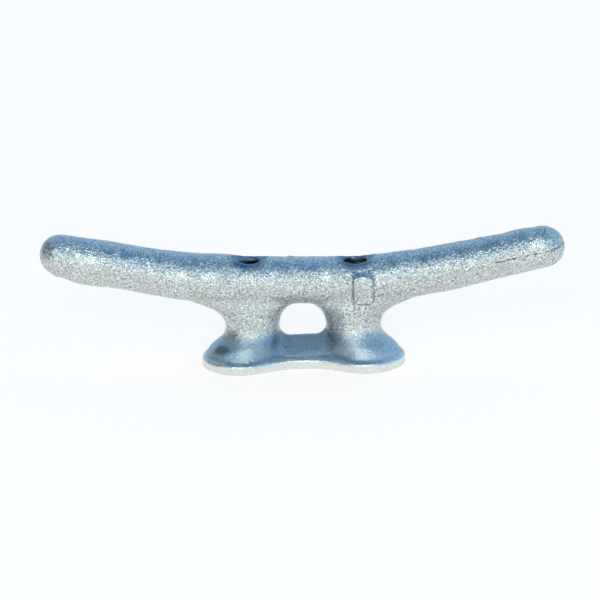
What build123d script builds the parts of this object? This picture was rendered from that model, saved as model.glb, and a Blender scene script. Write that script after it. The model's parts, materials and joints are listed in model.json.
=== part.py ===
from build123d import *
from math import cos, radians, sin, sqrt, tan
import os

# Open-base horn cleat in millimetres: one iron casting, modelled whole and then parted
# into the regions that it is known by. X runs along the horns, Y across them and Z up
# from the deck. The origin is on the deck, under the middle of the cleat.

# Horns and crossbar: one round bar, level over the legs and bent up to both rounded tips
overall_length = 203.2
tip_radius = 8.0
bar_middle_radius = 9.3
axis_over_deck = 33.6
level_half_length = 15.0
bend_radius = 205.0
arm_slope = 11.8  # degrees
bar_stations = 6

# Base flange: two round lobes joined by a waist that curves in
lobe_spacing = 48.2
lobe_radius = 15.6
waist_width = 17.6
base_thickness = 4.0
rim_round = 1.5

# Legs, and the rope window that they leave between them
leg_outer_width = 60.6
leg_depth = 17.0
window_width = 18.0
foot_margin = 0.4  # between the foot and the rim's round
foot_fillet = 4.4
arm_fillet = 6.0

# Ridge between the feet, which is the sill of the window
sill_height = 11.3

# Bolt holes, each down through a leg, with a flared mouth on the crossbar
bolt_spacing = 41.3
bolt_hole_radius = 4.5
mouth_radius = 8.1
mouth_angle = 136  # degrees

# Blank raised pad on the front of the bar over the right-hand leg, where a size mark is cast
pad_width = 7.8
pad_corner = 1.8
pad_relief = 0.8
pad_top_angle = 26.0  # degrees above the bar's axis
pad_wrap = 10.0  # degrees round the bar below its axis
pad_gap = 1.9  # above the bar's underside
pad_offset = 2.95  # outwards from the bolt hole

# Where the casting is parted into its named regions
sill_clearance = 0.7
lintel_clearance = 1.4
horn_root_x = 52.0

# ---- the bar's own line
tip_x = overall_length / 2 - tip_radius
rise = radians(arm_slope)
bend_run = bend_radius * sin(rise)


def past_level(x):
    return max(0.0, abs(x) - level_half_length)


def axis_height(x):
    past = past_level(x)
    if past <= bend_run:
        return axis_over_deck + bend_radius - sqrt(bend_radius**2 - past**2)
    return axis_over_deck + bend_radius * (1 - cos(rise)) + (past - bend_run) * tan(rise)


def axis_direction(x):
    sine = min(past_level(x) / bend_radius, sin(rise))
    return (sqrt(1 - sine**2), 0, sine if x > 0 else -sine)


def bar_radius(x):
    share = past_level(x) / (tip_x - level_half_length)
    return bar_middle_radius + (tip_radius - bar_middle_radius) * share**2


with BuildPart() as bar:
    for n in range(-bar_stations, bar_stations + 1):
        x = tip_x * n / bar_stations
        with BuildSketch(Plane(origin=(x, 0, axis_height(x)), x_dir=(0, 1, 0), z_dir=axis_direction(x))):
            Circle(bar_radius(x))
    loft()
    with Locations((-tip_x, 0, axis_height(tip_x)), (tip_x, 0, axis_height(tip_x))):
        Sphere(tip_radius)

# ---- one leg, a trumpet at both ends
window_half = window_width / 2
window_top = axis_over_deck - bar_middle_radius
leg_outer = leg_outer_width / 2
leg_half_depth = leg_depth / 2
lobe_x = lobe_spacing / 2
lobe_end = lobe_x + lobe_radius
foot_radius = lobe_radius - rim_round - foot_margin
foot_inner = lobe_x - foot_radius
foot_outer = lobe_x + foot_radius
brow_inner = (foot_inner + window_half) / 2 + 0.6
brow_outer = (foot_outer + leg_outer) / 2 + 2.5
leg_clear = window_top - base_thickness

# The leg's ellipse at each height: inner side, outer side and half depth. It starts inside
# the flange as a round foot on the lobe, narrows to the leg's own width and depth halfway
# up, and spreads along the bar inside it
leg_sections = [
    (base_thickness - 3.45, foot_inner - 1.2, foot_outer + 1.2, foot_radius + 1.2),
    (base_thickness + 0.2, foot_inner, foot_outer, foot_radius),
    (base_thickness + 2.6, brow_inner, brow_outer, leg_half_depth + 3.1),
    (base_thickness + 0.30 * leg_clear, window_half + 0.6, leg_outer + 2.5, leg_half_depth + 1.1),
    (base_thickness + 0.57 * leg_clear, window_half, leg_outer, leg_half_depth),
    (base_thickness + 0.81 * leg_clear, window_half - 1.2, leg_outer + 2.1, leg_half_depth - 0.2),
    (window_top, window_half - 5.4, leg_outer + 8.1, leg_half_depth - 0.2),
    (window_top + 3.25, 0.6, leg_outer + 16.0, leg_half_depth - 0.5),
    (window_top + 7.3, 0.3, leg_outer + 26.0, leg_half_depth - 2.0),
]
with BuildPart() as leg:
    for height, inner, outer, half_depth in leg_sections:
        with BuildSketch(Plane.XY.offset(height)):
            with Locations(((inner + outer) / 2, 0)):
                Ellipse((outer - inner) / 2, half_depth)
    loft()

# ---- raised pad: a strip that wraps the front of bar and leg, trimmed to a rounded outline
pad_x = bolt_spacing / 2 + pad_offset
pad_radius = bar_middle_radius + pad_relief
pad_middle = axis_height(pad_x)
pad_top = pad_middle + pad_radius * sin(radians(pad_top_angle))
pad_bottom = window_top + pad_gap
pad_low_y = -(leg_half_depth + pad_relief)
with BuildPart() as size_pad:
    with BuildSketch(Plane.YZ.offset(pad_x - pad_width / 2)):
        with BuildLine():
            face_arc = CenterArc((0, pad_middle), pad_radius, 180 - pad_top_angle, pad_top_angle + pad_wrap)
            front = Line(face_arc @ 1, (pad_low_y, pad_bottom))
            back = Line(front @ 1, (0, pad_bottom))
            up = Line(back @ 1, (0, pad_top))
            Line(up @ 1, face_arc @ 0)
        make_face()
    extrude(amount=pad_width)
    with BuildSketch(Plane.XZ):
        with Locations((pad_x, (pad_top + pad_bottom) / 2)):
            RectangleRounded(pad_width, pad_top - pad_bottom, pad_corner)
    extrude(amount=leg_depth, mode=Mode.INTERSECT)

# ---- the whole casting
waist_half = waist_width / 2
waist_arc = (lobe_x**2 + waist_half**2 - lobe_radius**2) / (2 * (lobe_radius - waist_half))
lobe_share = lobe_radius / (waist_arc + lobe_radius)
touch_x = lobe_x * (1 - lobe_share)
touch_y = (waist_half + waist_arc) * lobe_share

# the ridge's side, from the rim of the waist up to the crest, in shares of its half width and height
ridge_side = ((0.96, -0.06), (0.72, 0.15), (0.48, 0.45), (0.25, 0.81), (0.0, 1.0))
ridge_rise = sill_height - base_thickness
ridge_points = [(waist_half * across, base_thickness + ridge_rise * up) for across, up in ridge_side]
ridge_under = base_thickness / 4
ridge_foot = ridge_points[0][0]

with BuildPart() as casting:
    # flange
    with BuildSketch():
        with BuildLine():
            ThreePointArc((-touch_x, touch_y), (0, waist_half), (touch_x, touch_y))
            ThreePointArc((touch_x, touch_y), (lobe_end, 0), (touch_x, -touch_y))
            ThreePointArc((touch_x, -touch_y), (0, -waist_half), (-touch_x, -touch_y))
            ThreePointArc((-touch_x, -touch_y), (-lobe_end, 0), (-touch_x, touch_y))
        make_face()
    extrude(amount=base_thickness)
    fillet(faces().sort_by(Axis.Z)[-1].outer_wire().edges(), rim_round)
    # ridge between the feet
    with BuildSketch(Plane.YZ):
        with BuildLine():
            under = Line((-ridge_foot, ridge_under), (ridge_foot, ridge_under))
            Line(under @ 1, ridge_points[0])
            Spline(*ridge_points, tangents=[(-1, 0.5), (-1, 0)])
            mirror(about=Plane.YZ)
        make_face()
    extrude(amount=lobe_x, both=True)
    # legs, blended into flange and ridge, then the bar, blended into the legs
    add([leg.part, leg.part.mirror(Plane.YZ)])
    fillet(edges(Select.NEW), foot_fillet)
    add(bar.part)
    fillet(edges(Select.NEW), arm_fillet)
    add(size_pad.part)
    # bolt holes
    crest = axis_over_deck + bar_middle_radius
    with Locations((-bolt_spacing / 2, 0, crest), (bolt_spacing / 2, 0, crest)):
        CounterSinkHole(bolt_hole_radius, mouth_radius, counter_sink_angle=mouth_angle)

# ---- named regions, parted on planes where one shape gives way to the next
sill_plane = Plane.XY.offset(sill_height + sill_clearance)
lintel_plane = Plane.XY.offset(window_top - lintel_clearance)
right_root = Plane.YZ.offset(horn_root_x)
left_root = Plane.YZ.offset(-horn_root_x)

with BuildPart() as base_flange:
    add(casting.part)
    split(bisect_by=sill_plane, keep=Keep.BOTTOM)

with BuildPart() as right_leg:
    add(casting.part)
    split(bisect_by=Plane.YZ, keep=Keep.TOP)
    split(bisect_by=sill_plane, keep=Keep.TOP)
    split(bisect_by=lintel_plane, keep=Keep.BOTTOM)

with BuildPart() as left_leg:
    mirror(right_leg.part, about=Plane.YZ)

with BuildPart() as upper:
    add(casting.part)
    split(bisect_by=lintel_plane, keep=Keep.TOP)

with BuildPart() as crossbar:
    add(upper.part)
    split(bisect_by=right_root, keep=Keep.BOTTOM)
    split(bisect_by=left_root, keep=Keep.TOP)

with BuildPart() as right_horn:
    add(upper.part)
    split(bisect_by=right_root, keep=Keep.TOP)

with BuildPart() as left_horn:
    mirror(right_horn.part, about=Plane.YZ)

regions = {
    "base_flange": base_flange.part,
    "left_leg": left_leg.part,
    "right_leg": right_leg.part,
    "crossbar": crossbar.part,
    "left_horn": left_horn.part,
    "right_horn": right_horn.part,
}
os.makedirs("parts", exist_ok=True)
for name, region in regions.items():
    region.label = name
    export_step(region, f"parts/{name}.step")
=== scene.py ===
import json
import math

import bpy
import numpy as np
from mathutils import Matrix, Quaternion, Vector, noise


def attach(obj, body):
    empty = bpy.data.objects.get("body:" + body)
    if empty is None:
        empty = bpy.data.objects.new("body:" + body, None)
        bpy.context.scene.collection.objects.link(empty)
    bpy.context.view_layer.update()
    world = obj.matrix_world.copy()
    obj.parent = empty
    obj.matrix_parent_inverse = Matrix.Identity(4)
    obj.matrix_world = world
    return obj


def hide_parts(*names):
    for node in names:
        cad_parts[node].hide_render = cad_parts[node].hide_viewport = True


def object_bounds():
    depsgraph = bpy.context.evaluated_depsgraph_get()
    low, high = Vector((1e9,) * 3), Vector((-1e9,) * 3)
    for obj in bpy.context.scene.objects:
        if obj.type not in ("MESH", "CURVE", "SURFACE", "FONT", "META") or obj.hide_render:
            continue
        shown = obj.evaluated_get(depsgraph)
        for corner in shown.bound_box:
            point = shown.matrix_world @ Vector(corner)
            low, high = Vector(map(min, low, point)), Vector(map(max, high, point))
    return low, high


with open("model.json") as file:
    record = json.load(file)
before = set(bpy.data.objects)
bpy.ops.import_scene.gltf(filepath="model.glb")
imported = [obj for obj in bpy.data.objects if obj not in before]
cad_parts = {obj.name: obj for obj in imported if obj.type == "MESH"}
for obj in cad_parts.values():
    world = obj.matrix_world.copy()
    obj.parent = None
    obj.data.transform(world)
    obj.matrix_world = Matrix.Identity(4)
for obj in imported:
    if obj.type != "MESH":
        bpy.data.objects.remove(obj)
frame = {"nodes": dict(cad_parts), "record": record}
cad_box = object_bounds()

MM = 0.001

# ------------------------------------------------------------------ places on the casting
deck_height = cad_box[0][2]  # metres; every other place and size below is in millimetres
mounts = {mount["name"]: mount for mount in frame["record"]["mounts"]}
bolt_x = mounts["right_bolt_hole"]["pos_m"][0] / MM
bolt_radius = mounts["right_bolt_hole"]["dims"]["r_mm"]
PAD_OFFSET = 2.95
pad_x = bolt_x + PAD_OFFSET
PAD_Z = 32.0
PAD_HALF_WIDTH = 3.9
PAD_HALF_HEIGHT = 5.9
PAD_CORNER = 1.8
FRONT_FACING = -0.3  # a normal's Y on the front of the casting

# ------------------------------------------------------------------ one skin over the regions
VOXEL = 0.55
SMOOTH_ROUNDS = 5
SMOOTH_SHARE = 0.5
UNSHRINK = 1.04  # the step back, as a share of the step in
FILL_RADIUS = 7.5
FILL_ROUNDS = 18
FILL_STEPS = 10
FILL_SHARE = 0.8
CRISP_BORE_MARGIN = 1.0
CRISP_PAD_REACH = 5.4, 8.1  # across and up from the pad's middle


def cad_triangles():
    """Every CAD node's mesh in one list of corners and faces, in metres."""
    corners, faces = [], []
    for node in frame["nodes"].values():
        start = len(corners)
        mesh = node.data
        corners += [node.matrix_world @ vertex.co for vertex in mesh.vertices]
        faces += [[start + i for i in face.vertices] for face in mesh.polygons]
    return corners, faces


def mesh_object(name, corners, faces):
    mesh = bpy.data.meshes.new(name)
    mesh.from_pydata(corners, [], faces)
    thing = bpy.data.objects.new(name, mesh)
    bpy.context.scene.collection.objects.link(thing)
    return thing


def remeshed(name):
    """One closed skin of even quads over all the regions, as a new mesh."""
    source = mesh_object(name + "_source", *cad_triangles())
    modifier = source.modifiers.new("voxels", "REMESH")
    modifier.mode = "VOXEL"
    modifier.voxel_size = VOXEL * MM
    graph = bpy.context.evaluated_depsgraph_get()
    skin = bpy.data.meshes.new_from_object(source.evaluated_get(graph))
    source_mesh = source.data
    bpy.data.objects.remove(source)
    bpy.data.meshes.remove(source_mesh)
    skin.name = name
    return skin


def edge_pairs(mesh):
    pairs = np.empty(2 * len(mesh.edges), dtype=np.int64)
    mesh.edges.foreach_get("vertices", pairs)
    return pairs.reshape(-1, 2)


def vertex_rows(mesh, attribute):
    """The vertices' "co" or "normal", one row each."""
    rows = np.empty(3 * len(mesh.vertices))
    mesh.vertices.foreach_get(attribute, rows)
    return rows.reshape(-1, 3)


def move_to(mesh, points):
    mesh.vertices.foreach_set("co", points.ravel())
    mesh.update()


def neighbour_mean(points, pairs):
    first, second = pairs[:, 0], pairs[:, 1]
    count = np.bincount(pairs.ravel(), minlength=len(points))
    mean = np.empty_like(points)
    for axis in range(3):
        column = points[:, axis]
        total = np.bincount(first, column[second], len(points))
        total += np.bincount(second, column[first], len(points))
        mean[:, axis] = total / count
    return mean


def smoothed(points, pairs):
    """Moves points towards their neighbours' mean and back again, so nothing shrinks."""
    for step in (SMOOTH_SHARE, -SMOOTH_SHARE * UNSHRINK) * SMOOTH_ROUNDS:
        points = points + step * (neighbour_mean(points, pairs) - points)
    return points


def from_bore(in_mm):
    """Distance from the nearer bolt hole's axis."""
    return np.hypot(np.abs(in_mm[:, 0]) - bolt_x, in_mm[:, 1])


def kept_crisp(in_mm):
    """0 in the bolt holes and round the raised pad, 1 elsewhere."""
    in_bore = from_bore(in_mm) < bolt_radius + CRISP_BORE_MARGIN
    across, up = np.abs(in_mm[:, 0] - pad_x), np.abs(in_mm[:, 2] - PAD_Z)
    on_pad = (across < CRISP_PAD_REACH[0]) & (up < CRISP_PAD_REACH[1]) & (in_mm[:, 1] < 0)
    return np.where(in_bore | on_pad, 0.0, 1.0)


def fill_hollows(mesh, pairs):
    """Fills hollow corners outwards to about the fillet that a cast corner has."""
    flat_enough = VOXEL * VOXEL / (4 * FILL_RADIUS) * MM
    points = vertex_rows(mesh, "co")
    share = FILL_SHARE * kept_crisp(points / MM)
    for _ in range(FILL_ROUNDS):
        normals = vertex_rows(mesh, "normal")
        for _ in range(FILL_STEPS):
            to_mean = neighbour_mean(points, pairs) - points
            hollow = np.einsum("ij,ij->i", to_mean, normals)
            rise = share * np.maximum(hollow - flat_enough, 0.0)
            points = points + normals * rise[:, None]
        move_to(mesh, points)


# ------------------------------------------------------------------ the cast surface
SWELL = ((34.0, 0.30), (13.0, 0.20), (6.0, 0.12))  # wavelength, height
SWELL_SHIFT = 11.3
GRAIN = ((3.1, 0.085), (1.7, 0.06))
GRAIN_SHIFT = 3.1
GRAIN_PATCH = 17.0  # wavelength of the rougher and smoother areas
GRAIN_MEAN = 0.65
GRAIN_VARIATION = 0.5
PIT_CELL = 5.2
PIT_SHARE = 0.45
PIT_RADIUS = 0.95
PIT_DEPTH = 0.38
LUMP_SHIFT = Vector((31, 7, 5))
LUMP_CELL = 7.5
LUMP_SHARE = 0.3
LUMP_RADIUS = 1.5
LUMP_HEIGHT = 0.32
SPOT_DRAW = 3.7  # spreads the places of spots before each one is drawn or left out

# Where this cleat's casting is thicker than its design: place, reach, height
UNEVEN = (
    ((-86.0, 0.0, 36.5), 7.0, 1.3),
    ((-78.0, 0.0, 36.0), 9.0, 0.8),
    ((-24.0, 0.0, 43.0), 14.0, 0.8),
    ((-36.0, 0.0, 44.0), 12.0, 0.5),
    ((84.0, 0.0, 51.0), 6.0, 0.7),
)

# The feet are deeper, front and back, than the CAD's fillets could make them
FOOT_SWELL = 1.9
FOOT_SWELL_Z = 8.6
FOOT_SWELL_REACH = 3.8
FOOT_SWELL_FULL_Y = 6.0
FOOT_BORE_FADE = 1.5

PAD_EXTRA = 0.6
PAD_EDGE = 0.6  # width of the slope round the pad
DECK_FADE = 1.2  # the surface gets smooth over this height above the deck
UNDERSIDE_Z = 1.0
UNDERSIDE_FACING = -0.9  # a normal's Z on the underside


def octave_sum(octaves, point, shift):
    total = 0
    for size, height in octaves:
        place = Vector((point.x / size + shift, point.y / size - shift, point.z / size + shift))
        total += height * noise.noise(place)
    return total


def spot(point, cell, share, radius):
    """1 at the middle of a scattered spot, falling to 0 at its edge."""
    distances, places = noise.voronoi(point / cell)
    if noise.cell(places[0] * SPOT_DRAW) * 0.5 + 0.5 > share:
        return 0.0
    reach = distances[0] * cell / radius
    return max(0.0, 1.0 - reach * reach)


def cast_height(point):
    """How far the zinc stands out from the designed surface."""
    height = octave_sum(SWELL, point, SWELL_SHIFT)
    patch = GRAIN_MEAN + GRAIN_VARIATION * noise.noise(point / GRAIN_PATCH)
    height += patch * octave_sum(GRAIN, point, GRAIN_SHIFT)
    height -= PIT_DEPTH * spot(point, PIT_CELL, PIT_SHARE, PIT_RADIUS)
    height += LUMP_HEIGHT * spot(point + LUMP_SHIFT, LUMP_CELL, LUMP_SHARE, LUMP_RADIUS)
    return height


def uneven_height(in_mm):
    total = np.zeros(len(in_mm))
    for place, reach, height in UNEVEN:
        away = np.linalg.norm(in_mm - np.array(place), axis=1) / reach
        total += height * np.exp(-away * away)
    return total


def foot_swell(in_mm):
    """Added depth round the feet, outside the bolt holes."""
    level = np.exp(-(((in_mm[:, 2] - FOOT_SWELL_Z) / FOOT_SWELL_REACH) ** 2))
    side = np.clip(in_mm[:, 1] / FOOT_SWELL_FULL_Y, -1.0, 1.0)
    outside = np.clip((from_bore(in_mm) - bolt_radius) / FOOT_BORE_FADE, 0.0, 1.0)
    return FOOT_SWELL * level * side * outside


def pad_height(in_mm, normals):
    """Extra height on the raised pad, so that the rough coat doesn't bury it."""
    across, up = np.abs(in_mm[:, 0] - pad_x), np.abs(in_mm[:, 2] - PAD_Z)
    past_x = np.maximum(across - (PAD_HALF_WIDTH - PAD_CORNER), 0.0)
    past_z = np.maximum(up - (PAD_HALF_HEIGHT - PAD_CORNER), 0.0)
    inside = np.clip((PAD_CORNER - np.hypot(past_x, past_z)) / PAD_EDGE, 0.0, 1.0)
    return PAD_EXTRA * inside * (normals[:, 1] < FRONT_FACING)


def cast_skin(mesh):
    """Gives the smooth skin its as-cast surface, but leaves the underside flat."""
    pairs = edge_pairs(mesh)
    move_to(mesh, smoothed(vertex_rows(mesh, "co"), pairs))
    fill_hollows(mesh, pairs)
    points, normals = vertex_rows(mesh, "co"), vertex_rows(mesh, "normal")
    in_mm = points / MM
    height = np.array([cast_height(Vector(point)) for point in in_mm])
    height += uneven_height(in_mm) + pad_height(in_mm, normals)
    underneath = (normals[:, 2] < UNDERSIDE_FACING) & (in_mm[:, 2] < UNDERSIDE_Z)
    height *= np.where(underneath, 0.0, np.clip(in_mm[:, 2] / DECK_FADE, 0.0, 1.0))
    points[:, 1] += foot_swell(in_mm) * MM
    moved = points + normals * (height * MM)[:, None]
    moved[:, 2] = np.maximum(moved[:, 2], deck_height)
    move_to(mesh, moved)
    for face in mesh.polygons:
        face.use_smooth = True
    return mesh


# ------------------------------------------------------------------ materials
class Nodes:
    """Short calls for one material's or world's node tree."""

    def __init__(self, owner):
        owner.use_nodes = True
        self.tree = owner.node_tree
        self.tree.nodes.clear()

    def add(self, kind, values=None, links=None, **settings):
        node = self.tree.nodes.new(kind)
        for key, value in settings.items():
            setattr(node, key, value)
        for key, value in (values or {}).items():
            node.inputs[key].default_value = value
        for key, socket in (links or {}).items():
            self.tree.links.new(socket, node.inputs[key])
        return node

    def put(self, socket, value):
        """Sets a number or a colour, or links another node's output."""
        if isinstance(value, (int, float)):
            socket.default_value = value
        elif isinstance(value, tuple):
            socket.default_value = (*value, 1)
        else:
            self.tree.links.new(value, socket)

    def math(self, operation, *values):
        node = self.add("ShaderNodeMath", operation=operation)
        for socket, value in zip(node.inputs, values):
            self.put(socket, value)
        return node.outputs[0]

    def product(self, first, *others):
        for other in others:
            first = self.math("MULTIPLY", first, other)
        return first

    def hypot(self, x, y):
        squares = self.math("ADD", self.math("POWER", x, 2), self.math("POWER", y, 2))
        return self.math("SQRT", squares)

    def away(self, value, middle):
        return self.math("ABSOLUTE", self.math("SUBTRACT", value, middle))

    def span(self, value, start, end):
        """0 at start and 1 at end, smooth between them."""
        ends = {"From Min": start, "From Max": end}
        node = self.add("ShaderNodeMapRange", ends, {"Value": value})
        node.interpolation_type = "SMOOTHSTEP"
        return node.outputs[0]

    def ramp(self, factor, *stops):
        """Each of the two stops is a position and a colour or grey."""
        node = self.add("ShaderNodeValToRGB", links={"Fac": factor})
        elements = node.color_ramp.elements
        for element, (position, colour) in zip(elements, stops, strict=True):
            element.position = position
            grey = isinstance(colour, float)
            element.color = (colour, colour, colour, 1) if grey else (*colour, 1)
        return node.outputs["Color"]

    def mix(self, factor, a, b):
        node = self.add("ShaderNodeMix", data_type="RGBA")
        for key, value in ((0, factor), (6, a), (7, b)):
            self.put(node.inputs[key], value)
        return node.outputs[2]

    def vector(self, operation, a, b):
        node = self.add("ShaderNodeVectorMath", {1: b}, {0: a}, operation=operation)
        return node.outputs["Value" if operation == "DOT_PRODUCT" else "Vector"]

    def parts(self, vector):
        return self.add("ShaderNodeSeparateXYZ", links={"Vector": vector}).outputs

    def in_mm(self):
        """The object's own coordinates in millimetres."""
        place = self.add("ShaderNodeTexCoord").outputs["Object"]
        return self.vector("MULTIPLY", place, (1 / MM, 1 / MM, 1 / MM))

    def noise(self, vector, scale, detail, rough=0.55):
        values = {"Scale": scale, "Detail": detail, "Roughness": rough}
        return self.add("ShaderNodeTexNoise", values, {"Vector": vector}).outputs["Fac"]


# Noises: scale per millimetre, detail, roughness
BROAD_NOISE = 0.05, 3
PATCH_NOISE = 0.2, 4
GRAIN_NOISE = 1.25, 5, 0.75
FINE_NOISE = 2.2, 2, 0.6
GAP_NOISE = 0.7, 3, 0.7
CRYSTAL_SCALE = 0.95

# Ramps over a noise: each stop is where it stands and a share, a roughness or a colour
ZINC_TONES = (0.3, (0.44, 0.50, 0.485)), (0.7, (0.57, 0.625, 0.605))
CLOUDS = (0.38, 0.0), (0.66, 0.5)
CREVICES = (0.37, 0.95), (0.49, 0.0)
CRYSTALS = (0.53, 0.0), (0.62, 1.0)
GLINTS = (0.58, 0.0), (0.68, 0.9)
ROUGHNESS = (0.32, 0.18), (0.7, 0.29)

ROUGH_PATCHES = 0.36, 0.58
LEAST_GRAIN = 0.45
ADDED_GRAIN = 0.55
CRYSTAL_RELIEF = 0.7
GRAIN_RELIEF = 1.5
FINE_RELIEF = 0.5
BUMP_STRENGTH = 0.55
BUMP_DEPTH = 0.4

# Dark marks on the zinc, stains and one painted shade (the second, on the right leg's inner
# flank): place, half sizes, how dark
STAINS_AND_PAINTED_SHADE = (
    ((-32.4, -8.4, 8.2), (4.6, 3.4, 1.7), 0.9),
    # painted shade on the right leg's inner flank, not a stain
    ((12.0, -4.0, 17.5), (5.5, 9.0, 8.0), 0.55),
    ((-97.0, -3.5, 48.0), (3.6, 4.5, 3.0), 0.45),
    ((-85.0, -1.0, 50.0), (5.0, 3.0, 1.6), 0.35),
    ((23.0, -4.0, 37.0), (2.0, 4.0, 1.2), 0.30),
)
STAIN_AND_SHADE_RAGGED = 1.6
STAIN_AND_SHADE_EDGE = 2.05, 1.45  # outer and inner, with the ragged share added
HORN_RISE = 11.8  # degrees
HORN_SLOPE = math.tan(math.radians(HORN_RISE))
HORN_LINE_Z = 26.3  # of the right horn's middle line, carried on to X = 0
PARTING_EDGE = 0.512, 0.192  # outer and inner half widths
PARTING_FROM_X = 70.0, 74.0
PARTING_GAPS = 0.42, 0.56
OUTLINE_RADIUS = PAD_CORNER + 0.2
OUTLINE_EDGE = 0.8, 0.1
OUTLINE_GAPS = 0.60, 0.46
OUTLINE_FROM_Y = -5.0, -6.0
OUTLINE_SHARE = 0.6
MOUTH_EDGE = 8.8, 6.0
MOUTH_FROM_Z = 36.0, 38.0
MOUTH_SHARE = 0.85

# Heights, or distances from the middle, between which a zone fades in
ROUGH_FROM_Z = 9.0, 18.0
HOLLOW_TOP_Z = 15.0, 10.0
HOLLOW_BOTTOM_Z = 3.9, 5.0
SILL_EDGE_X = 26.0, 14.0
RIM_HIGHLIGHT_Z = 4.4, 3.0

FOOT_REFLECTION_SHARE = 0.52
POOLED_ROUGHNESS = 0.16
SILL_SHADE_SHARE = 0.62
RIM_HIGHLIGHT_SHARE = 0.6

ZINC_CLOUD = (0.66, 0.70, 0.685)
CREVICE = (0.08, 0.11, 0.115)
CRYSTAL = (0.96, 0.98, 0.97)
GLINT = (0.98, 0.99, 0.98)
# Painted sky reflection round the feet
PAINTED_FOOT_REFLECTION = (0.34, 0.46, 0.56)
# Painted shade and sky reflection on the window's sill
PAINTED_SILL_SHADE = (0.16, 0.25, 0.35)
# Painted highlight along the base's rim
PAINTED_RIM_HIGHLIGHT = (0.86, 0.88, 0.87)
# Dirt and painted shade round the foot of the raised pad
OUTLINE_DIRT_AND_SHADE = (0.22, 0.25, 0.26)
MOUTH_SHADE = (0.12, 0.20, 0.28)
# Stains, and the painted shade on the right leg's inner flank
STAIN_AND_SHADE_COLOUR = (0.16, 0.21, 0.27)
PARTING_DIRT = (0.13, 0.15, 0.17)

FLOOR_COLOUR = (0.34, 0.29, 0.24, 1)
FLOOR_ROUGHNESS = 0.9
FLOOR_GLOW_COLOUR = (1.0, 0.99, 0.98, 1)
FLOOR_GLOW = 0.80
GLOW_STARTS = 0.1, 1.0  # outside the bolt holes


def stain_and_shade_mask(n, mm, wobble):
    """Dark stains and a painted shade with ragged edges, added up."""
    total = 0.0
    ragged = n.math("MULTIPLY", wobble, STAIN_AND_SHADE_RAGGED)
    for place, half_sizes, darkness in STAINS_AND_PAINTED_SHADE:
        share = n.vector("DIVIDE", n.vector("SUBTRACT", mm, place), half_sizes)
        length = n.add("ShaderNodeVectorMath", links={0: share}, operation="LENGTH")
        edge = n.math("ADD", length.outputs["Value"], ragged)
        mark = n.math("MULTIPLY", n.span(edge, *STAIN_AND_SHADE_EDGE), darkness)
        total = n.math("ADD", mark, total)
    return total


def parting_mask(n, mm, parts, wobble):
    """The mould's parting line, a broken dark line along the right horn's middle."""
    tilted = n.vector("DOT_PRODUCT", mm, (-HORN_SLOPE, 0, 1))
    on_line = n.span(n.away(tilted, HORN_LINE_Z), *PARTING_EDGE)
    along = n.span(parts["X"], *PARTING_FROM_X)
    return n.product(on_line, along, n.span(wobble, *PARTING_GAPS))


def pad_outline(n, parts, wobble):
    """Dirt and painted shade: a broken dark line round the foot of the raised pad, on the front
    only.
    """
    off_x, off_z = n.away(parts["X"], pad_x), n.away(parts["Z"], PAD_Z)
    inner_x, inner_z = PAD_HALF_WIDTH - PAD_CORNER, PAD_HALF_HEIGHT - PAD_CORNER
    past_x = n.math("MAXIMUM", n.math("SUBTRACT", off_x, inner_x), 0.0)
    past_z = n.math("MAXIMUM", n.math("SUBTRACT", off_z, inner_z), 0.0)
    line = n.span(n.away(n.hypot(past_x, past_z), OUTLINE_RADIUS), *OUTLINE_EDGE)
    gaps, front = n.span(wobble, *OUTLINE_GAPS), n.span(parts["Y"], *OUTLINE_FROM_Y)
    return n.product(line, gaps, front, OUTLINE_SHARE)


def mouth_mask(n, parts, across):
    """Dirt and shade in the flared mouths and down the bolt holes."""
    radius = n.hypot(n.math("SUBTRACT", across, bolt_x), parts["Y"])
    return n.product(n.span(radius, *MOUTH_EDGE), n.span(parts["Z"], *MOUTH_FROM_Z), MOUTH_SHARE)


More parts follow.
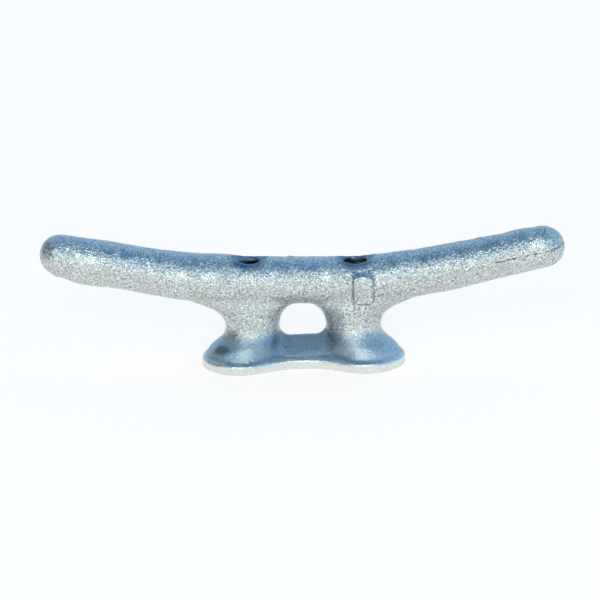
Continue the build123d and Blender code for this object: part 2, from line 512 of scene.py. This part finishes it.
def zinc_material():
    material = bpy.data.materials.new("galvanised_iron")
    n = Nodes(material)
    mm = n.in_mm()
    parts = n.parts(mm)
    height, across = parts["Z"], n.math("ABSOLUTE", parts["X"])
    patches = n.noise(mm, *PATCH_NOISE)
    grain = n.noise(mm, *GRAIN_NOISE)
    fine = n.noise(mm, *FINE_NOISE)
    rough_patches = n.span(patches, *ROUGH_PATCHES)
    added = n.product(n.span(height, *ROUGH_FROM_Z), rough_patches, ADDED_GRAIN)
    grainy = n.math("ADD", added, LEAST_GRAIN)

    # Silver zinc with cloudy patches, dark crevices between pale crystals
    colour = n.ramp(n.noise(mm, *BROAD_NOISE), *ZINC_TONES)
    colour = n.mix(n.ramp(patches, *CLOUDS), colour, ZINC_CLOUD)
    colour = n.mix(n.math("MULTIPLY", n.ramp(grain, *CREVICES), grainy), colour, CREVICE)
    colour = n.mix(n.math("MULTIPLY", n.ramp(grain, *CRYSTALS), grainy), colour, CRYSTAL)
    colour = n.mix(n.ramp(fine, *GLINTS), colour, GLINT)

    # Painted sky reflection: duller and bluer round the feet, most of all on the window's sill,
    # where it is painted shade as well
    hollow = n.product(n.span(height, *HOLLOW_TOP_Z), n.span(height, *HOLLOW_BOTTOM_Z))
    # Painted shade and reflection, darkest on the window's sill
    sill = n.product(hollow, n.span(across, *SILL_EDGE_X), SILL_SHADE_SHARE)
    # Painted highlight: paler along the base's rim
    rim_highlight = n.math("MULTIPLY", n.span(height, *RIM_HIGHLIGHT_Z), RIM_HIGHLIGHT_SHARE)
    # Painted sky reflection: bluer round the feet
    colour = n.mix(n.math("MULTIPLY", hollow, FOOT_REFLECTION_SHARE), colour, PAINTED_FOOT_REFLECTION)
    colour = n.mix(sill, colour, PAINTED_SILL_SHADE)
    colour = n.mix(rim_highlight, colour, PAINTED_RIM_HIGHLIGHT)

    # Marks
    # Dirt and painted shade round the raised pad
    colour = n.mix(pad_outline(n, parts, grain), colour, OUTLINE_DIRT_AND_SHADE)
    colour = n.mix(mouth_mask(n, parts, across), colour, MOUTH_SHADE)
    # Real stains, and a painted shade on the right leg's inner flank
    colour = n.mix(stain_and_shade_mask(n, mm, grain), colour, STAIN_AND_SHADE_COLOUR)
    gaps = n.noise(mm, *GAP_NOISE)
    colour = n.mix(parting_mask(n, mm, parts, gaps), colour, PARTING_DIRT)

    # Roughness and relief
    pooled = n.math("MULTIPLY", hollow, POOLED_ROUGHNESS)
    rough = n.math("ADD", n.ramp(patches, *ROUGHNESS), pooled)
    cells = n.add("ShaderNodeTexVoronoi", {"Scale": CRYSTAL_SCALE}, {"Vector": mm})
    relief = n.math("MULTIPLY", cells.outputs["Distance"], CRYSTAL_RELIEF)
    relief = n.math("ADD", relief, n.math("MULTIPLY", grain, GRAIN_RELIEF))
    relief = n.math("ADD", relief, n.math("MULTIPLY", fine, FINE_RELIEF))
    relief = n.math("MULTIPLY", relief, grainy)
    depth = {"Strength": BUMP_STRENGTH, "Distance": BUMP_DEPTH * MM}
    bump = n.add("ShaderNodeBump", depth, {"Height": relief})
    shader = n.add(
        "ShaderNodeBsdfPrincipled",
        {"Metallic": 1.0},
        {"Base Color": colour, "Roughness": rough, "Normal": bump.outputs["Normal"]},
    )
    n.add("ShaderNodeOutputMaterial", links={"Surface": shader.outputs["BSDF"]})
    return material


def floor_material():
    """Lit a little like a light table, but not under the bolt holes, and clear from below."""
    material = bpy.data.materials.new("pale_floor")
    n = Nodes(material)
    parts = n.parts(n.in_mm())
    radius = n.hypot(n.math("SUBTRACT", n.math("ABSOLUTE", parts["X"]), bolt_x), parts["Y"])
    lit = n.span(radius, *(bolt_radius + start for start in GLOW_STARTS))
    shader = n.add(
        "ShaderNodeBsdfPrincipled",
        {
            "Base Color": FLOOR_COLOUR,
            "Roughness": FLOOR_ROUGHNESS,
            "Emission Color": FLOOR_GLOW_COLOUR,
        },
        {"Emission Strength": n.math("MULTIPLY", lit, FLOOR_GLOW)},
    )
    clear = n.add("ShaderNodeBsdfTransparent")
    from_below = n.add("ShaderNodeNewGeometry").outputs["Backfacing"]
    either = n.add(
        "ShaderNodeMixShader",
        links={0: from_below, 1: shader.outputs["BSDF"], 2: clear.outputs["BSDF"]},
    )
    n.add("ShaderNodeOutputMaterial", links={"Surface": either.outputs["Shader"]})
    return material


# ------------------------------------------------------------------ stage, light and camera
# Lengths are in metres from here on, and angles in degrees
FLOOR_REACH = 30.0
FLOOR_GAP = 0.02 * MM

KEY_PLACE = (-0.1, -1.2, 0.72)
KEY_AIM = (0, 0, 0.03)
KEY_SIZE = 0.16
KEY_WATTS = 2.6
KEY_COLOUR = (1.0, 0.99, 0.97)

# The dome: each soft patch is a direction, its inner and outer half angles and its colour
DOME_COLOUR = (0.44, 0.68, 1.0)
DOME_PATCHES = (
    ((0.0, -0.15, 1.0), 30, 42, (0.13, 0.30, 0.50)),
    ((-1.0, 0.0, 0.05), 30, 60, (0.22, 0.25, 0.25)),
    ((1.0, 0.0, 0.1), 20, 60, (0.42, 0.74, 1.05)),
    ((0.0, -1.0, 0.22), 29, 38, (0.98, 1.08, 1.05)),
    ((0.0, 0.0, -1.0), 78, 88, (0.92, 0.93, 0.94)),
)

CAMERA_ELEVATION = 18.5
CAMERA_AZIMUTH = 0.5
CAMERA_ROLL = 1.15
CAMERA_DISTANCE = 1.35
CAMERA_CLIP = 100.0
VIEW_WIDTH = 0.2334
CAMERA_AIM = (-0.0010, 0.0, 0.0254)
SENSOR = 36.0  # millimetres


def make_floor():
    r = FLOOR_REACH
    floor = mesh_object("floor", [(-r, -r, 0), (r, -r, 0), (r, r, 0), (-r, r, 0)], [(0, 1, 2, 3)])
    floor.location.z = deck_height - FLOOR_GAP
    floor.data.materials.append(floor_material())


def make_key_light():
    data = bpy.data.lights.new("front_key", "AREA")
    data.size = KEY_SIZE
    data.energy = KEY_WATTS
    data.color = KEY_COLOUR
    light = bpy.data.objects.new("front_key", data)
    light.location = KEY_PLACE
    towards = Vector(KEY_AIM) - Vector(KEY_PLACE)
    light.rotation_euler = towards.to_track_quat("-Z", "Y").to_euler()
    bpy.context.scene.collection.objects.link(light)


def make_world():
    """Dark blue overhead, blue behind and right, grey left, white in front and below."""
    world = bpy.data.worlds.new("soft_dome")
    n = Nodes(world)
    direction = n.add("ShaderNodeTexCoord").outputs["Generated"]
    colour = DOME_COLOUR
    for centre, inner, outer, tint in DOME_PATCHES:
        facing = n.vector("DOT_PRODUCT", direction, tuple(Vector(centre).normalized()))
        edge = (math.cos(math.radians(angle)) for angle in (outer, inner))
        colour = n.mix(n.span(facing, *edge), colour, tint)
    background = n.add("ShaderNodeBackground", links={"Color": colour})
    n.add("ShaderNodeOutputWorld", links={"Surface": background.outputs["Background"]})
    bpy.context.scene.world = world


def make_camera():
    angles = (CAMERA_ELEVATION, CAMERA_AZIMUTH, CAMERA_ROLL)
    elevation, azimuth, roll = (math.radians(angle) for angle in angles)
    level = math.cos(elevation)
    back = Vector((math.sin(azimuth) * level, -math.cos(azimuth) * level, math.sin(elevation)))
    data = bpy.data.cameras.new("camera")
    data.sensor_width = SENSOR
    data.lens = SENSOR * CAMERA_DISTANCE / VIEW_WIDTH
    data.clip_end = CAMERA_CLIP
    camera = bpy.data.objects.new("camera", data)
    camera.location = Vector(CAMERA_AIM) + back * CAMERA_DISTANCE
    camera.rotation_mode = "QUATERNION"
    rolled = Quaternion((0, 0, 1), -roll)
    camera.rotation_quaternion = (-back).to_track_quat("-Z", "Y") @ rolled
    bpy.context.scene.collection.objects.link(camera)
    bpy.context.scene.camera = camera


make_camera()
make_world()
make_floor()
make_key_light()

skin = cast_skin(remeshed("cleat_casting"))
casting = bpy.data.objects.new("cleat_casting", skin)
bpy.context.scene.collection.objects.link(casting)
skin.materials.append(zinc_material())
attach(casting, "root")
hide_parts(*frame["nodes"])

bpy.context.scene.view_settings.view_transform = "Standard"
